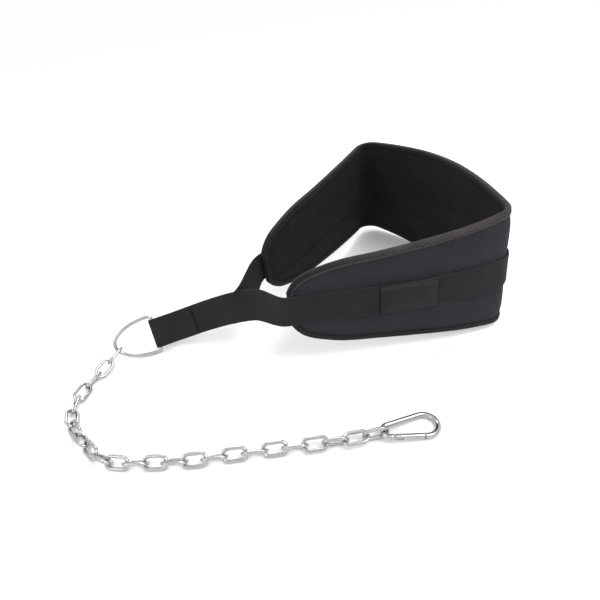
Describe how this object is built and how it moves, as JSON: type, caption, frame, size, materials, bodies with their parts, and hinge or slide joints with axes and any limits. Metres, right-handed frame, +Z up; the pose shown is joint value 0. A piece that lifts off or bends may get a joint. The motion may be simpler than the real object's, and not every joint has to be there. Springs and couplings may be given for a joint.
{
  "type": "dip belt",
  "caption": "Padded waist band that tapers to its ends, with webbing sewn along it, a D ring, a link chain and a snap hook.",
  "frame": {"origin": "centre of the belt's box in plan, at the floor that it stands on", "axes": "+Z up; +X along the near wall of the band, from the ring's end to the closed side; +Y from the chain towards the far wall"},
  "size_m": [0.5574, 0.4636, 0.1698],
  "materials": {
    "band_fabric": "fine woven black fabric over foam",
    "edge_tape": "woven binding tape",
    "webbing": "ribbed black webbing",
    "patch_leather": "smooth black leather",
    "chain_steel": "bright zinc plated",
    "ring_steel": "polished",
    "hook_steel": "polished zinc plated"
  },
  "bodies": {
    "root": {"pad": "band_fabric", "edge_tape": "edge_tape", "strap": "webbing", "label_patch": "patch_leather", "d_ring": "ring_steel", "link_01": "chain_steel", "link_02": "chain_steel", "link_03": "chain_steel", "link_04": "chain_steel", "link_05": "chain_steel", "link_06": "chain_steel", "link_07": "chain_steel", "link_08": "chain_steel", "link_09": "chain_steel", "link_10": "chain_steel", "link_11": "chain_steel", "link_12": "chain_steel", "link_13": "chain_steel", "link_14": "chain_steel", "link_15": "chain_steel", "link_16": "chain_steel", "link_17": "chain_steel", "link_18": "chain_steel", "link_19": "chain_steel", "link_20": "chain_steel", "link_21": "chain_steel", "link_22": "chain_steel", "link_23": "chain_steel", "link_24": "chain_steel", "hook_body": "hook_steel", "hook_rivet": "hook_steel"},
    "gate": {"hook_gate": "hook_steel"}
  },
  "joints": [
    {"name": "gate_hinge", "type": "hinge", "parent": "root", "child": "gate", "pos_m": [0.10145, -0.22721, 0.00679], "axis": [0.0849, 0.0089, 0.9963], "range_deg": [0, 28], "stiffness_Nm_per_rad": 0.05}
  ]
}
